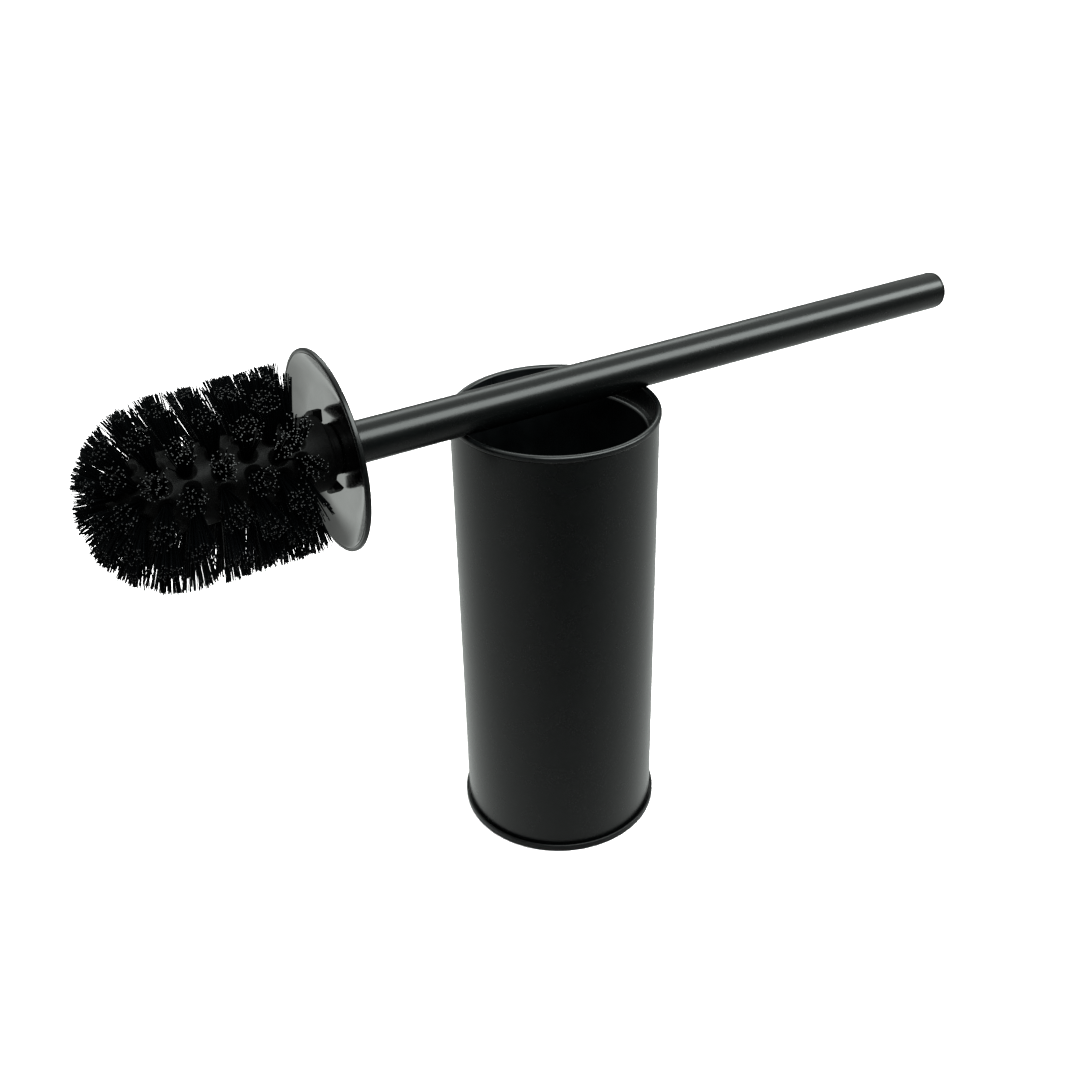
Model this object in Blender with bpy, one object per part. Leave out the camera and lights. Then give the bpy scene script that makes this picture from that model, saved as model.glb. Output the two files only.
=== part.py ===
"""Toilet brush and holder: a tubular steel canister with a plastic liner, and a brush lying across its rim.

Metres, +Z up. The origin is the middle of the flat underside that the holder stands on.
The brush's axis runs along X, a little in front of the origin: the bristle head is at -X and the free
end of the handle at +X.
"""

import math

import bmesh
import bpy
from mathutils import Matrix, Vector

MM = 0.001
GAP = 0.3 * MM  # clearance between pieces that touch or are fitted together

# Driving dimensions of the holder.
HOLDER_HEIGHT = 215.7 * MM  # floor to the top of the liner's rim
SHELL_RADIUS = 45.8 * MM
SHELL_WALL = 0.8 * MM
RIM_RADIUS = 46.6 * MM
RIM_HEIGHT = 2.7 * MM
RIM_ROUNDING = 1.1 * MM
COLLAR_DEPTH = 10.4 * MM  # rim top down to the shoulder that the lid sits on
LINER_WALL = 1.0 * MM
SHOULDER_OPENING = 40.4 * MM  # inner radius of the liner below the shoulder
LINER_FLOOR_RADIUS = 38.6 * MM  # inner radius at the liner's floor, after the moulding draft
BASE_RADIUS = 47.4 * MM
BASE_LIP_WALL = 1.0 * MM
BASE_LIP_TOP = 4.0 * MM
SPIGOT_TOP = 9.0 * MM
PAD_RADIUS = 42.0 * MM
PAD_THICKNESS = 1.6 * MM
PAD_STANDS_OUT = 0.4 * MM

# Driving dimensions of the brush. "Depth" is measured from the plane of the lid's rim towards the tip.
HANDLE_RADIUS = 8.9 * MM
HANDLE_WALL = 1.0 * MM
HANDLE_LENGTH = 318.1 * MM
LID_RIM_X = -107.5 * MM
LID_RADIUS = 41.6 * MM
LID_EDGE = 2.2 * MM  # thickness of the turned edge
LID_SHEET = 0.8 * MM
LID_DISH = 4.4 * MM  # how far the middle of the lid lies behind its rim
LID_DISH_RADIUS = 39.6 * MM
LID_SEAT_RADIUS = 26.0 * MM  # flat middle of the dish
LID_COLLAR_WALL = 1.6 * MM
LID_COLLAR_LENGTH = 2.2 * MM
NECK_RADIUS = 10.4 * MM
NECK_LENGTH = 4.4 * MM
HUB_RADIUS = 15.2 * MM
HUB_END = 12.0 * MM  # depth where the hub has widened to the core
LUG_RADIUS = 17.0 * MM
LUG_LENGTH = 3.0 * MM
LUG_SIDE = 3.3 * MM  # from the axis to the flat side of each lug
LUG_FOOT = 10.9 * MM  # from the axis to the underside of each lug
LUG_ROOT = 1.0 * MM  # how far each lug reaches into the hub
CORE_RADIUS = 15.8 * MM
CORE_END = 86.0 * MM
CORE_CAVITY_RADIUS = 11.5 * MM
CORE_CAVITY_END = 69.0 * MM
INSERT_BORE_RADIUS = 8.0 * MM
INSERT_BORE_END = 14.0 * MM
STUD_RADIUS = 3.9 * MM
STUD_HOLE_RADIUS = 4.3 * MM
THREAD_LENGTH = 10.0 * MM

# Bristles: staggered rings of tufts that fan out along the core, and one tuft at its end.
TUFTS_PER_RING = 12
TUFTS_IN_LAST_RING = 8
RING_ROOT_DEPTHS = [value * MM for value in (14.0, 22.6, 33.4, 45.0, 57.2, 67.6, 76.6, 82.6)]
RING_TIP_DEPTHS = [value * MM for value in (15.5, 24.3, 35.5, 48.0, 62.0, 74.5, 86.0, 94.0)]
RING_PHASE = math.radians(-8.0)  # where the first ring's tufts stand, turned from +Z towards +Y
LAST_RING_PHASE = math.radians(-33.0)
END_TUFT_ROOT_RADIUS = 3.0 * MM
END_TUFT_TIP_RADIUS = 8.5 * MM
HEAD_RADIUS = 37.6 * MM
HEAD_TIP_DEPTH = 98.4 * MM
DOME_START_DEPTH = 58.0 * MM  # where the bristle envelope starts to close in
ROOT_BAND_WALL = 0.8 * MM
ROOT_BAND_WIDTH = 3.4 * MM
TUFT_SPREAD = 0.62  # width of a tuft at its tip, as a share of the space between tufts
TUFT_TIP_THICKNESS = 7.6 * MM

LARGE_STEPS = 64
SMALL_STEPS = 32
SCREW_STEPS = 20
BRUSH_AXIS_Y = -1.9 * MM  # the brush lies a little off the middle of the rim
BRUSH_AXIS_Z = HOLDER_HEIGHT + HANDLE_RADIUS + GAP

PAINT = ((0.012, 0.013, 0.013), 0.42, 0.0)
PLASTIC = ((0.010, 0.011, 0.012), 0.30, 0.0)
LINER_PLASTIC = ((0.014, 0.016, 0.017), 0.26, 0.0)
BRISTLE = ((0.008, 0.008, 0.009), 0.45, 0.0)
SATIN_STEEL = ((0.46, 0.47, 0.46), 0.22, 1.0)
ZINC_STEEL = ((0.52, 0.52, 0.50), 0.30, 1.0)
BRASS = ((0.62, 0.47, 0.20), 0.28, 1.0)
FOAM_RUBBER = ((0.020, 0.020, 0.021), 0.85, 0.0)


def clear_scene():
    """Empties the file of objects."""
    for old in list(bpy.data.objects):
        bpy.data.objects.remove(old, do_unlink=True)


def material(name, look):
    """A Principled material from (colour, roughness, metallic)."""
    colour, roughness, metallic = look
    made = bpy.data.materials.new(name)
    made.use_nodes = True
    shader = made.node_tree.nodes["Principled BSDF"]
    shader.inputs["Base Color"].default_value = (*colour, 1.0)
    shader.inputs["Roughness"].default_value = roughness
    shader.inputs["Metallic"].default_value = metallic
    return made


def add_object(name, mesh_builder, look, place, parent=None):
    """Turns a finished bmesh into a named, shaded object with its own material."""
    bmesh.ops.remove_doubles(mesh_builder, verts=mesh_builder.verts, dist=1e-6)
    bmesh.ops.recalc_face_normals(mesh_builder, faces=mesh_builder.faces)
    mesh = bpy.data.meshes.new(name)
    mesh_builder.to_mesh(mesh)
    mesh_builder.free()
    mesh.shade_smooth()
    mesh.set_sharp_from_angle(angle=math.radians(35.0))
    mesh.materials.append(material(name + "_material", look))
    made = bpy.data.objects.new(name, mesh)
    bpy.context.collection.objects.link(made)
    made.parent = parent
    made.location = place
    return made


def empty(name, place, parent=None):
    """A guide that holds a moving body's pieces at its joint."""
    made = bpy.data.objects.new(name, None)
    bpy.context.collection.objects.link(made)
    made.parent = parent
    made.location = place
    return made


def rounded_corner(centre, radius, start_degrees, end_degrees, steps=4):
    """Points of an arc in a (radius, along-axis) profile."""
    points = []
    for i in range(steps + 1):
        angle = math.radians(start_degrees + (end_degrees - start_degrees) * i / steps)
        points.append((centre[0] + radius * math.cos(angle), centre[1] + radius * math.sin(angle)))
    return points


def turned(name, profile, steps, look, place, parent=None, closed=True, along_x=False):
    """Turns a profile of (radius, along-axis) points about Z, or about -X when along_x is set."""
    mesh_builder = bmesh.new()
    points = [mesh_builder.verts.new((radius, 0.0, along)) for radius, along in profile]
    pairs = list(zip(points, points[1:]))
    if closed:
        pairs.append((points[-1], points[0]))
    edges = [mesh_builder.edges.new(pair) for pair in pairs]
    bmesh.ops.spin(
        mesh_builder,
        geom=points + edges,
        cent=(0.0, 0.0, 0.0),
        axis=(0.0, 0.0, 1.0),
        angle=math.tau,
        steps=steps,
        use_merge=True,
    )
    if along_x:
        bmesh.ops.rotate(
            mesh_builder,
            verts=mesh_builder.verts,
            cent=(0.0, 0.0, 0.0),
            matrix=Matrix.Rotation(-math.pi / 2.0, 3, "Y"),
        )
    return add_object(name, mesh_builder, look, place, parent)


def ring_profile(inner, outer, low, high):
    """A plain rectangular section."""
    return [(outer, low), (outer, high), (inner, high), (inner, low)]


def build_holder():
    """The fixed pieces: pad, base cap and shell."""
    floor = (0.0, 0.0, 0.0)
    turned(
        "anti_slip_pad",
        [(0.0, 0.0), (PAD_RADIUS, 0.0), (PAD_RADIUS, PAD_THICKNESS), (0.0, PAD_THICKNESS)],
        LARGE_STEPS, FOAM_RUBBER, floor, closed=False,
    )
    underside = PAD_STANDS_OUT
    recess = PAD_THICKNESS + GAP
    trench_floor = recess + 0.1 * MM
    lip_inner = BASE_RADIUS - BASE_LIP_WALL
    spigot_outer = SHELL_RADIUS - SHELL_WALL - GAP
    spigot_inner = spigot_outer - 1.4 * MM
    floor_top = recess + 1.5 * MM
    edge = 0.45 * MM
    profile = [(0.0, recess), (PAD_RADIUS + GAP, recess), (PAD_RADIUS + GAP, underside)]
    profile += rounded_corner((BASE_RADIUS - edge, underside + edge), edge, -90.0, 0.0, 2)
    profile += rounded_corner((BASE_RADIUS - edge, BASE_LIP_TOP - edge), edge, 0.0, 90.0, 2)
    profile += [
        (lip_inner, BASE_LIP_TOP),
        (lip_inner, trench_floor),
        (spigot_outer, trench_floor),
        (spigot_outer, SPIGOT_TOP),
        (spigot_inner, SPIGOT_TOP),
        (spigot_inner, floor_top),
        (0.0, floor_top),
    ]
    turned("base_cap", profile, LARGE_STEPS, PLASTIC, floor, closed=False)
    shell_top = HOLDER_HEIGHT - RIM_HEIGHT - GAP
    turned(
        "holder_shell",
        ring_profile(SHELL_RADIUS - SHELL_WALL, SHELL_RADIUS, trench_floor + GAP, shell_top),
        LARGE_STEPS, PAINT, floor,
    )


def build_liner(parent):
    """The removable plastic cup whose rim caps the shell and whose shoulder carries the lid."""
    collar_outer = SHELL_RADIUS - SHELL_WALL - GAP
    collar_inner = collar_outer - LINER_WALL
    shoulder_z = HOLDER_HEIGHT - COLLAR_DEPTH
    floor_z = SPIGOT_TOP + GAP
    lower_outer = SHOULDER_OPENING + LINER_WALL
    foot_outer = LINER_FLOOR_RADIUS + LINER_WALL
    foot_rounding = 3.0 * MM
    rim_bottom = HOLDER_HEIGHT - RIM_HEIGHT
    top = HOLDER_HEIGHT
    foot_centre = (foot_outer - foot_rounding, floor_z + foot_rounding)
    profile = [(0.0, floor_z)]
    profile += rounded_corner(foot_centre, foot_rounding, -90.0, 0.0, 2)
    profile += [
        (lower_outer, shoulder_z - 2.0 * LINER_WALL),
        (collar_outer, shoulder_z - LINER_WALL),
        (collar_outer, rim_bottom),
    ]
    profile += rounded_corner((RIM_RADIUS - 0.6 * MM, rim_bottom + 0.6 * MM), 0.6 * MM, -90.0, 0.0, 1)
    profile += rounded_corner((RIM_RADIUS - RIM_ROUNDING, top - RIM_ROUNDING), RIM_ROUNDING, 0.0, 90.0, 3)
    profile += rounded_corner((collar_inner + RIM_ROUNDING, top - RIM_ROUNDING), RIM_ROUNDING, 90.0, 180.0, 3)
    profile += [
        (collar_inner, shoulder_z),
        (SHOULDER_OPENING + 0.7 * MM, shoulder_z),
        (SHOULDER_OPENING, shoulder_z - 0.7 * MM),
        (LINER_FLOOR_RADIUS, floor_z + foot_rounding),
    ]
    inner_rounding = foot_rounding - LINER_WALL
    profile += rounded_corner(
        (LINER_FLOOR_RADIUS - inner_rounding, floor_z + foot_rounding), inner_rounding, 0.0, -90.0, 2
    )[1:]
    profile.append((0.0, floor_z + LINER_WALL))
    turned("liner", profile, LARGE_STEPS, LINER_PLASTIC, (0.0, 0.0, 0.0), parent, closed=False)


def build_handle(parent):
    """The handle tube with its end cap, threaded plug and stud, measured from the tube's end in the lid."""
    start = (LID_DISH, 0.0, 0.0)
    bore = HANDLE_RADIUS - HANDLE_WALL
    plug = bore - GAP
    chamfer = 0.4 * MM
    turned(
        "handle_tube",
        [
            (bore, 0.0),
            (HANDLE_RADIUS, 0.0),
            (HANDLE_RADIUS, -HANDLE_LENGTH + chamfer),
            (HANDLE_RADIUS - chamfer, -HANDLE_LENGTH),
            (bore, -HANDLE_LENGTH),
        ],
        SMALL_STEPS, PAINT, start, parent, along_x=True,
    )
    cap_seat = -HANDLE_LENGTH - GAP
    cap_head = 1.3 * MM
    cap_rounding = 0.9 * MM
    cap_edge = HANDLE_RADIUS - 0.25 * MM
    cap = [(0.0, -HANDLE_LENGTH + 8.0 * MM), (plug - 0.3 * MM, -HANDLE_LENGTH + 8.0 * MM)]
    cap += [(plug, -HANDLE_LENGTH + 7.0 * MM), (plug, cap_seat), (cap_edge, cap_seat)]
    cap_corner = (cap_edge - cap_rounding, cap_seat - cap_head + cap_rounding)
    cap += rounded_corner(cap_corner, cap_rounding, 0.0, -90.0, 3)
    cap.append((0.0, cap_seat - cap_head - 0.15 * MM))
    turned("handle_end_cap", cap, SMALL_STEPS, PLASTIC, start, parent, closed=False, along_x=True)
    turned(
        "threaded_plug",
        ring_profile(STUD_HOLE_RADIUS, plug, -20.0 * MM, -GAP),
        SMALL_STEPS, PLASTIC, start, parent, along_x=True,
    )
    stud_end = LID_DISH + GAP + THREAD_LENGTH
    stud_start = -18.0 * MM
    lead = 0.6 * MM
    turned(
        "threaded_stud",
        [
            (0.0, stud_start),
            (STUD_RADIUS, stud_start),
            (STUD_RADIUS, stud_end - lead),
            (STUD_RADIUS - lead, stud_end),
            (0.0, stud_end),
        ],
        SCREW_STEPS, ZINC_STEEL, start, parent, closed=False, along_x=True,
    )


def dish_depth(radius):
    """Depth of the lid's shallow dish at a radius: flat in the middle and rising to nothing at its edge."""
    share = (radius - LID_SEAT_RADIUS) / (LID_DISH_RADIUS - LID_SEAT_RADIUS)
    share = max(0.0, min(1.0, share))
    return -LID_DISH * (1.0 - share * share)


def build_lid(parent):
    """The loose lid: a shallow dish, hollow towards the head, with a turned edge and a collar at its hole."""
    hole = HANDLE_RADIUS + GAP
    collar = hole + LID_COLLAR_WALL
    collar_end = -LID_DISH - LID_COLLAR_LENGTH
    edge = LID_EDGE / 2.0
    edge_inner = LID_RADIUS - 2.4 * MM
    rings = 8
    profile = [(hole, collar_end), (collar, collar_end)]
    for i in range(rings + 1):
        radius = collar + (edge_inner - collar) * i / rings
        profile.append((radius, dish_depth(radius) - LID_SHEET))
    profile.append((edge_inner, -LID_EDGE))
    profile += rounded_corner((LID_RADIUS - edge, -edge), edge, -90.0, 90.0, 4)
    for i in range(rings + 1):
        radius = LID_DISH_RADIUS + (hole - LID_DISH_RADIUS) * i / rings
        profile.append((radius, dish_depth(radius)))
    turned("lid_disc", profile, LARGE_STEPS, SATIN_STEEL, (0.0, 0.0, 0.0), parent, along_x=True)


def hub_lugs(parent):
    """The two lugs on the hub's end, half a turn apart, each an arc with a flat side and a flat foot."""
    first = math.asin(LUG_SIDE / LUG_RADIUS)
    last = math.acos(LUG_FOOT / LUG_RADIUS)
    steps = 8
    shape = [(LUG_SIDE, LUG_FOOT)]
    for i in range(steps + 1):
        angle = first + (last - first) * i / steps
        shape.append((LUG_RADIUS * math.sin(angle), LUG_RADIUS * math.cos(angle)))
    near = GAP - LUG_LENGTH
    far = GAP + LUG_ROOT
    mesh_builder = bmesh.new()
    for turn in (1.0, -1.0):
        ends = []
        for depth in (near, far):
            ends.append([mesh_builder.verts.new((-depth, turn * y, turn * z)) for y, z in shape])
        for i in range(len(shape)):
            j = (i + 1) % len(shape)
            mesh_builder.faces.new((ends[0][i], ends[0][j], ends[1][j], ends[1][i]))
        mesh_builder.faces.new(ends[0])
        mesh_builder.faces.new(ends[1])
    guide = add_object("hub_lugs_guide", mesh_builder, PLASTIC, (0.0, 0.0, 0.0), parent)
    guide.hide_render = True
    guide.display_type = "WIRE"
    return guide


def build_head(parent):
    """The moulded core with its hub and lugs, and the spacer collar between it and the lid."""
    start = (0.0, 0.0, 0.0)
    turned(
        "neck_collar",
        ring_profile(STUD_HOLE_RADIUS, NECK_RADIUS, -LID_DISH, NECK_LENGTH - LID_DISH),
        SMALL_STEPS, PLASTIC, start, parent, along_x=True,
    )
    hub_start = GAP
    core = [
        (0.0, CORE_CAVITY_END),
        (CORE_CAVITY_RADIUS, CORE_CAVITY_END),
        (CORE_CAVITY_RADIUS, INSERT_BORE_END),
        (INSERT_BORE_RADIUS, INSERT_BORE_END),
        (INSERT_BORE_RADIUS, hub_start),
        (HUB_RADIUS, hub_start),
        (CORE_RADIUS, HUB_END),
    ]
    core += rounded_corner((0.0, CORE_END - CORE_RADIUS), CORE_RADIUS, 0.0, 90.0, 6)
    head = turned("head_core", core, SMALL_STEPS, PLASTIC, start, parent, closed=False, along_x=True)
    joined = head.modifiers.new("lugs", "BOOLEAN")
    joined.operation = "UNION"
    joined.object = hub_lugs(parent)


def build_thread_insert(parent):
    """The brass bush that screws on the stud inside the hub."""
    start = GAP + 0.2 * MM
    turned(
        "thread_insert",
        ring_profile(STUD_HOLE_RADIUS, INSERT_BORE_RADIUS - GAP, start, start + 1.2 * THREAD_LENGTH),
        SCREW_STEPS, BRASS, (0.0, 0.0, 0.0), parent, along_x=True,
    )


def core_radius(depth):
    """Radius of the core at a depth: a cylinder that ends in a round dome."""
    into_dome = max(0.0, depth - (CORE_END - CORE_RADIUS))
    return math.sqrt(max(0.0, CORE_RADIUS * CORE_RADIUS - into_dome * into_dome))


def envelope_radius(depth):
    """Radius of the trimmed bristle head at a depth: a cylinder that closes in an elliptic dome."""
    if depth <= DOME_START_DEPTH:
        return HEAD_RADIUS
    share = (depth - DOME_START_DEPTH) / (HEAD_TIP_DEPTH - DOME_START_DEPTH)
    return HEAD_RADIUS * math.sqrt(max(0.0, 1.0 - share * share))


def tuft_section(centre, sideways, across, half_width, half_thickness):
    """The four corners of a tuft's section, in the order of a root face's own corners."""
    corners = []
    for side, depth in ((-1, -1), (1, -1), (1, 1), (-1, 1)):
        corners.append(centre + sideways * side * half_width + across * depth * half_thickness)
    return corners


def bristle_ring(name, tufts, root_depth, tip_depth, phase, parent):
    """One ring of tufts on a thin root band, as one closed body about -X."""
    half_width = ROOT_BAND_WIDTH / 2.0
    inner = core_radius(root_depth - half_width) + GAP
    outer = inner + ROOT_BAND_WALL
    slots = tufts * 2
    slot_angle = math.tau / slots
    axis = Vector((-1.0, 0.0, 0.0))
    tip_radius = envelope_radius(tip_depth)
    lean = math.atan2(tip_depth - root_depth, tip_radius - outer)
    mesh_builder = bmesh.new()
    rows = []
    for i in range(slots):
        angle = phase + (i - 0.5) * slot_angle
        radial = Vector((0.0, math.sin(angle), math.cos(angle)))
        row = []
        for radius, side in ((inner, -1), (outer, -1), (outer, 1), (inner, 1)):
            row.append(mesh_builder.verts.new(radial * radius + axis * (root_depth + side * half_width)))
        rows.append(row)
    for i in range(slots):
        here, after = rows[i], rows[(i + 1) % slots]
        mesh_builder.faces.new((here[0], here[3], after[3], after[0]))
        mesh_builder.faces.new((here[0], after[0], after[1], here[1]))
        mesh_builder.faces.new((here[3], here[2], after[2], after[3]))
        if i % 2:
            mesh_builder.faces.new((here[1], after[1], after[2], here[2]))
            continue
        angle = phase + i * slot_angle
        outward = Vector((0.0, math.sin(angle), math.cos(angle)))
        sideways = Vector((0.0, math.cos(angle), -math.sin(angle)))
        across = axis * math.cos(lean) - outward * math.sin(lean)
        previous = [here[1], after[1], after[2], here[2]]
        for share in (0.5, 1.0):
            radius = outer + (tip_radius - outer) * share
            depth = root_depth + (tip_depth - root_depth) * share
            width = radius * slot_angle * TUFT_SPREAD
            thickness = half_width + (TUFT_TIP_THICKNESS / 2.0 - half_width) * share
            centre = outward * radius + axis * depth
            corners = tuft_section(centre, sideways, across, width, thickness)
            section = [mesh_builder.verts.new(corner) for corner in corners]
            for j in range(4):
                k = (j + 1) % 4
                mesh_builder.faces.new((previous[j], previous[k], section[k], section[j]))
            previous = section
        mesh_builder.faces.new(previous)
    return add_object(name, mesh_builder, BRISTLE, (0.0, 0.0, 0.0), parent)


def build_bristles(parent):
    """The staggered tuft rings and the closing tuft at the head's tip."""
    for i, (root_depth, tip_depth) in enumerate(zip(RING_ROOT_DEPTHS, RING_TIP_DEPTHS)):
        last = i == len(RING_TIP_DEPTHS) - 1
        tufts = TUFTS_IN_LAST_RING if last else TUFTS_PER_RING
        phase = LAST_RING_PHASE if last else RING_PHASE - (i % 2) * math.pi / TUFTS_PER_RING
        bristle_ring(f"bristle_ring_{i + 1}", tufts, root_depth, tip_depth, phase, parent)
    foot = CORE_END + GAP
    rounding = 3.0 * MM
    profile = [(0.0, foot), (END_TUFT_ROOT_RADIUS, foot)]
    profile += [(END_TUFT_TIP_RADIUS, HEAD_TIP_DEPTH - rounding), (0.7 * END_TUFT_TIP_RADIUS, HEAD_TIP_DEPTH)]
    profile.append((0.0, HEAD_TIP_DEPTH))
    turned("bristle_end_tuft", profile, 16, BRISTLE, (0.0, 0.0, 0.0), parent, closed=False, along_x=True)


def main():
    """Builds every piece under the empties of its moving body."""
    clear_scene()
    build_holder()
    liner_lift = empty("liner_lift_guide", (0.0, 0.0, 0.0))
    build_liner(liner_lift)
    brush_lift = empty("brush_lift_guide", (LID_RIM_X, BRUSH_AXIS_Y, BRUSH_AXIS_Z), liner_lift)
    build_handle(brush_lift)
    build_lid(brush_lift)
    head_screw = empty("head_screw_guide", (-GAP, 0.0, 0.0), brush_lift)
    build_thread_insert(head_screw)
    build_head(head_screw)
    build_bristles(head_screw)


main()
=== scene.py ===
"""Looks of the toilet brush and its holder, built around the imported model.

Metres, +Z up, in the model's own frame. The canister stands on the origin and the brush lies across
its rim, with its axis along X and the bristle head at -X. "Depth" is the distance from the plane of the
lid's rim towards the tip of the bristles.
"""

import math

import bmesh
import bpy
import numpy as np
from mathutils import Matrix, Vector


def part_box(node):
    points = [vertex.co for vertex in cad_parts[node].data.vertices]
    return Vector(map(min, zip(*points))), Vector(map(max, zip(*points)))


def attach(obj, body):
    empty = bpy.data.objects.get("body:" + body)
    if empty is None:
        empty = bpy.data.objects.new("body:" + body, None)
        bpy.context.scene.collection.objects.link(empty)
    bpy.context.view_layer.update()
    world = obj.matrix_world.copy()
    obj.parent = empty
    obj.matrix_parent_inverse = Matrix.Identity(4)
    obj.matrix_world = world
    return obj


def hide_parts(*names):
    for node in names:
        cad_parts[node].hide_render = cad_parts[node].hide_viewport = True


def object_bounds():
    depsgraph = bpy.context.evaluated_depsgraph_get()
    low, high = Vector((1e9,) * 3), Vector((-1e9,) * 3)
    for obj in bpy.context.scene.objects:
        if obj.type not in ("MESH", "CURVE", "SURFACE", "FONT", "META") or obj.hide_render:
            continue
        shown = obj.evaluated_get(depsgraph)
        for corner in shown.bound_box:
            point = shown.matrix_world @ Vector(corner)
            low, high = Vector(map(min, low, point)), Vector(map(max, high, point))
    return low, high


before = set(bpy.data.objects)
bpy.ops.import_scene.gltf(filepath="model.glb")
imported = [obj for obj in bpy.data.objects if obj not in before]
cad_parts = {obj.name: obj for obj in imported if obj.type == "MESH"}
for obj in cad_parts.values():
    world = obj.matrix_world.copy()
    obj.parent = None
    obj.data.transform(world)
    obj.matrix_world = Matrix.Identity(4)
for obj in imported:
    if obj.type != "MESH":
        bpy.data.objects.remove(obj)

CAD_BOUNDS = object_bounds()
MM = 0.001
dice = np.random.default_rng(7)

# Sizes that the frame gives.
SHELL_LOW, SHELL_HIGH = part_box("holder_shell")
BASE_LOW, BASE_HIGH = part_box("base_cap")
PAD_LOW, PAD_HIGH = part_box("anti_slip_pad")
LINER_LOW, LINER_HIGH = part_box("liner")
TUBE_LOW, TUBE_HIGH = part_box("handle_tube")
CAP_LOW, CAP_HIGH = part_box("handle_end_cap")
PLUG_LOW, PLUG_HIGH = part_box("threaded_plug")
STUD_LOW, STUD_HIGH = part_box("threaded_stud")
LID_LOW, LID_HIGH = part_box("lid_disc")
NECK_LOW, NECK_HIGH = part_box("neck_collar")
CORE_LOW, CORE_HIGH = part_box("head_core")
INSERT_LOW, INSERT_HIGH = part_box("thread_insert")
END_TUFT_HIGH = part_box("bristle_end_tuft")[1]

SHELL_RADIUS = SHELL_HIGH.y
HANDLE_RADIUS = (TUBE_HIGH.z - TUBE_LOW.z) / 2.0
AXIS_Y = (TUBE_HIGH.y + TUBE_LOW.y) / 2.0
AXIS_Z = (TUBE_HIGH.z + TUBE_LOW.z) / 2.0
LID_RIM_X = LID_LOW.x
LID_RADIUS = (LID_HIGH.z - LID_LOW.z) / 2.0

# Sizes inside the pieces' boxes, as the solids have them, and details that only the looks have.
GAP = 0.3 * MM
SHELL_WALL = 0.8 * MM
HANDLE_WALL = 1.0 * MM
LINER_WALL = 1.0 * MM
RIM_HEIGHT = 2.7 * MM
COLLAR_DEPTH = 10.4 * MM
SHOULDER_OPENING = 40.4 * MM
LINER_FLOOR_RADIUS = 38.6 * MM
BASE_LIP_WALL = 1.0 * MM
BASE_LIP_TOP = 4.0 * MM
BASE_FLOOR = 1.5 * MM
SPIGOT_WALL = 1.4 * MM
LINER_FOOT_ROUNDING = 3.0 * MM
STUD_HOLE_RADIUS = 4.3 * MM
THREAD_PITCH = 1.25 * MM
THREAD_DEPTH = 0.62 * MM
THREAD_STEEPNESS = 2.4  # of the flanks: with the flat, it sets how wide the crests and roots are
THREAD_FLAT = 0.15
STUD_LEAD = 0.9 * MM  # length of the chamfer at each end of the stud
STUD_CHAMFER = 0.7 * MM
INSERT_WAIST = 0.9 * MM  # depth and half width of the groove round the insert
KNURL_RIDGES = 48
KNURL_DEPTH = 0.35 * MM
LID_SHEET = 0.8 * MM
LID_DISH = 4.4 * MM
LID_DISH_RADIUS = 39.6 * MM
LID_SEAT_RADIUS = 26.0 * MM
LID_EDGE = 2.2 * MM
LID_EDGE_WIDTH = 2.4 * MM
LID_COLLAR_WALL = 1.6 * MM
LID_GROOVE_INSET = 1.75 * MM  # from the lid's outside to the groove inside its turned edge
LID_GROOVE_DEPTH = 0.4 * MM
LID_PAINTED_EDGE = 1.05 * MM
BARE_FACING = -0.4  # faces that turn further towards the head than this are bare
HUB_RADIUS = 15.2 * MM
HUB_END = 12.3 * MM
LUG_RADIUS = 17.0 * MM
LUG_LENGTH = 3.0 * MM
LUG_SIDE = 3.3 * MM
LUG_FOOT = 10.9 * MM
LUG_ROUNDING = 0.8 * MM
SHROUD_INNER = 10.7 * MM
SHROUD_OUTER = 11.3 * MM
SHROUD_LENGTH = 2.4 * MM
HUB_ROWS = 20
CORE_GRID = 0.36 * MM  # size of the core's faces
CORE_RADIUS = 15.8 * MM
CORE_CAVITY_RADIUS = 11.5 * MM
CORE_CAVITY_DEPTH = 69.3 * MM
INSERT_BORE_RADIUS = 8.0 * MM
INSERT_BORE_DEPTH = 14.3 * MM

# The bristle head.
RING_ROOT_DEPTHS = [value * MM for value in (14.0, 22.6, 33.4, 45.0, 57.2, 67.6, 76.6, 82.6)]
RING_TIP_DEPTHS = [value * MM for value in (16.6, 24.9, 35.5, 48.0, 62.0, 74.5, 86.0, 94.0)]
TUFTS_PER_RING = 12
TUFTS_IN_LAST_RING = 8
RING_PHASE = math.radians(-8.0)
LAST_RING_PHASE = math.radians(-33.0)
LEANING_TUFTS = {(0, 11): (-6.5, 1.6 * MM)}  # ring and place: a tuft's lean, in degrees and in depth
HEAD_RADIUS = 38.1 * MM
HEAD_TIP_DEPTH = 98.4 * MM
DOME_START_DEPTH = 58.0 * MM
DOME_BLUNTNESS = 2.2
DROOP_START = 15.0 * MM
DROOP_SLOPE = 0.026
DROOP_MOST = 1.5 * MM
FILAMENTS_PER_TUFT = 54
COUNT_SPREAD = 4
FILAMENT_RADIUS = 0.22 * MM
THICKNESS_RANGE = (0.85, 1.12)
FILAMENT_SIDES = 6
FILAMENT_STEPS = 6
TUFT_ROOT_RADIUS = 1.7 * MM
TUFT_TIP_RADIUS = 5.7 * MM
TUFT_ROOT_SINK = 2.6 * MM
TUFT_TURN_SPREAD = math.radians(1.0)
TUFT_SHIFT_SPREAD = 0.5 * MM
END_TUFT_FILAMENTS = 40
END_TUFT_RADIUS = 5.0 * MM
LOOSENESS = 0.13  # how far a filament strays from its even place in the tuft, as a share of the tuft
GOLDEN_ANGLE = 2.39996  # each filament's turn from the one before, which spreads them evenly
STRAY_SHARE = 0.03
STRAY_REACH = (1.15, 1.45)
TRIM_SEARCH = (0.5, 1.6)  # where a filament's cut is looked for, as a share of its length before it
TRIM_HALVINGS = 24
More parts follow.
